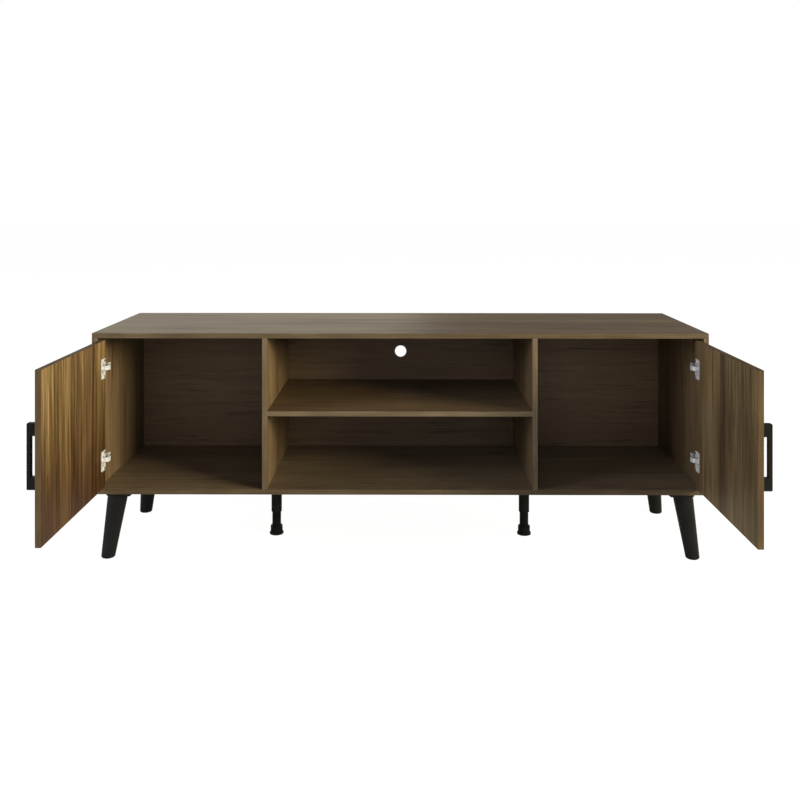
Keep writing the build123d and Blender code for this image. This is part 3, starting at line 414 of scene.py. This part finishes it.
# the doors: printed planks, with painted light towards the top and painted shade towards the foot
left_door = laminate("door_left", "Z", "Y", stops=DOOR_TONES, contrast=1.6, seed=5.0,
                     rings=0.08, height_shading=1.0, joint=DOOR_HINGE_EDGE - LEFT_DOOR_JOINT)
right_door = laminate("door_right", "Z", "Y", stops=UPRIGHT, contrast=1.3, seed=9.0,
                      rings=0.08, height_shading=0.3, joint=DOOR_HINGE_EDGE - RIGHT_DOOR_JOINT)
# painted light: the bottom board gets a lighter copy of the top's laminate
lit_floor_board = laminate("laminate_floor_painted_light", "X", "Y", stops=PAINTED_LIGHT_FLOOR_TONES, seed=6.2, contrast=0.7,
                       rings=0.12, veins=0.2, flecks=0.4)
shelf_board = laminate("laminate_shelf", "X", "Y", seed=1.7, gloss=0.62, contrast=0.6,
                       rings=0.12, veins=0.2, flecks=0.3)
OWN_FINISH = {
    "left_door": left_door, "left_handle_screw_covers": left_door,
    "right_door": right_door, "right_handle_screw_covers": right_door,
    "cam_covers": SLOTS["laminate_upright"],
    "bottom_panel": lit_floor_board,
    "middle_shelf": shelf_board,
}

for row in frame["record"]["subparts"]:
    node = frame["nodes"][row["node"]]
    shader = OWN_FINISH.get(row["node"]) or SLOTS[row["material_slot"]]
    node.data.materials.clear()
    node.data.materials.append(shader.material)

# ---- stage ----------------------------------------------------------------------------------
STAGE_SIZE = 60.0
FLOOR_GREY = (0.55, 0.55, 0.54, 1.0)  # what the stand's underside and legs see
FLOOR_GLOW = 1.1
SHADOW_SHARE = 0.12  # how much of the floor's white comes from the lights, not its own glow
BACKDROP_WHITE = (1.0, 1.0, 1.0, 1.0)
BACKDROP_CAST = (1.0, 0.985, 0.96, 1.0)


def floor():
    """White floor: a soft shadow for the camera, a plain grey bounce for the stand."""
    bpy.ops.mesh.primitive_plane_add(size=STAGE_SIZE, location=(0, 0, 0))
    plane = bpy.context.object
    plane.name = "floor"
    shader = Shader("pale_floor", roughness=0.9)
    shader.colour(FLOOR_GREY)
    shader.specular(0.0)
    shown = shader.node("ShaderNodeMixShader")
    shown.inputs[0].default_value = SHADOW_SHARE
    glow = shader.node("ShaderNodeEmission")
    glow.inputs["Strength"].default_value = FLOOR_GLOW
    matte = shader.node("ShaderNodeBsdfDiffuse")
    shader.link(glow.outputs[0], shown.inputs[1])
    shader.link(matte.outputs[0], shown.inputs[2])
    path = shader.node("ShaderNodeLightPath")
    mix = shader.node("ShaderNodeMixShader")
    shader.link(path.outputs["Is Camera Ray"], mix.inputs[0])
    shader.link(shader.surface.outputs[0], mix.inputs[1])
    shader.link(shown.outputs[0], mix.inputs[2])
    shader.link(mix.outputs[0], shader.tree.nodes["Material Output"].inputs["Surface"])
    plane.data.materials.append(shader.material)


def backdrop(light):
    """White for the camera, a dimmer even grey for everything it lights."""
    world = bpy.data.worlds.new("studio")
    bpy.context.scene.world = world
    world.use_nodes = True
    tree = world.node_tree
    shown = tree.nodes["Background"]
    shown.inputs["Strength"].default_value = 1.0
    shown.inputs["Color"].default_value = BACKDROP_WHITE
    cast = tree.nodes.new("ShaderNodeBackground")
    cast.inputs["Color"].default_value = BACKDROP_CAST
    cast.inputs["Strength"].default_value = light
    path = tree.nodes.new("ShaderNodeLightPath")
    mix = tree.nodes.new("ShaderNodeMixShader")
    tree.links.new(path.outputs["Is Camera Ray"], mix.inputs[0])
    tree.links.new(cast.outputs[0], mix.inputs[1])
    tree.links.new(shown.outputs[0], mix.inputs[2])
    tree.links.new(mix.outputs[0], tree.nodes["World Output"].inputs["Surface"])


def softbox(name, place, target, size, power, colour=(1.0, 1.0, 1.0), glare=True):
    """An area light aimed at target. glare is False for one that leaves no highlights."""
    light = bpy.data.lights.new(name, "AREA")
    light.shape = "RECTANGLE"
    light.size, light.size_y = size
    light.energy = power
    light.color = colour
    lamp = bpy.data.objects.new(name, light)
    lamp.location = place
    lamp.rotation_euler = (Vector(target) - Vector(place)).to_track_quat("-Z", "Y").to_euler()
    lamp.visible_camera = False
    lamp.visible_glossy = glare
    bpy.context.scene.collection.objects.link(lamp)


floor()
backdrop(light=0.235)
softbox("key", place=(7.7, -4.0, 2.5), target=(-0.45, -0.05, 0.3), size=(4.4, 2.2),
        power=1780.0, colour=(1.0, 0.85, 0.56), glare=False)
softbox("fill", place=(-4.9, -2.4, 2.1), target=(0.6, -0.12, 0.3), size=(2.6, 2.0),
        power=165.0, colour=(1.0, 0.97, 0.92))
softbox("front", place=(0.0, -4.2, 1.7), target=(0.0, 0.0, 0.35), size=(2.6, 1.4),
        power=22.0, colour=(1.0, 0.96, 0.90))
softbox("overhead", place=(0.0, 0.2, 3.2), target=(0.0, 0.1, 0.5), size=(3.0, 2.0), power=2.0)
softbox("back_left", place=(-1.3, 3.0, 1.3), target=(-0.4, 0.2, 0.55), size=(3.0, 1.3),
        power=10.5, colour=(1.0, 0.93, 0.76))

# ---- camera ---------------------------------------------------------------------------------
CAMERA_X = 0.0134
CAMERA_BACK = 2.193  # in front of the carcass front
CAMERA_HEIGHT = 0.8706
CAMERA_YAW = 0.334  # degrees
SENSOR = 36.0
LENS = 41.15
HORIZON_SHIFT = -0.2492  # of the frame's width, so that upright edges stay upright

camera_data = bpy.data.cameras.new("camera")
camera_data.sensor_width = SENSOR
camera_data.lens = LENS
camera_data.shift_y = HORIZON_SHIFT
camera = bpy.data.objects.new("camera", camera_data)
camera.location = (CAMERA_X, FRONT_Y - CAMERA_BACK, CAMERA_HEIGHT)
camera.rotation_euler = (radians(90), 0, radians(CAMERA_YAW))
bpy.context.scene.collection.objects.link(camera)
bpy.context.scene.camera = camera
bpy.context.scene.view_settings.view_transform = "Standard"
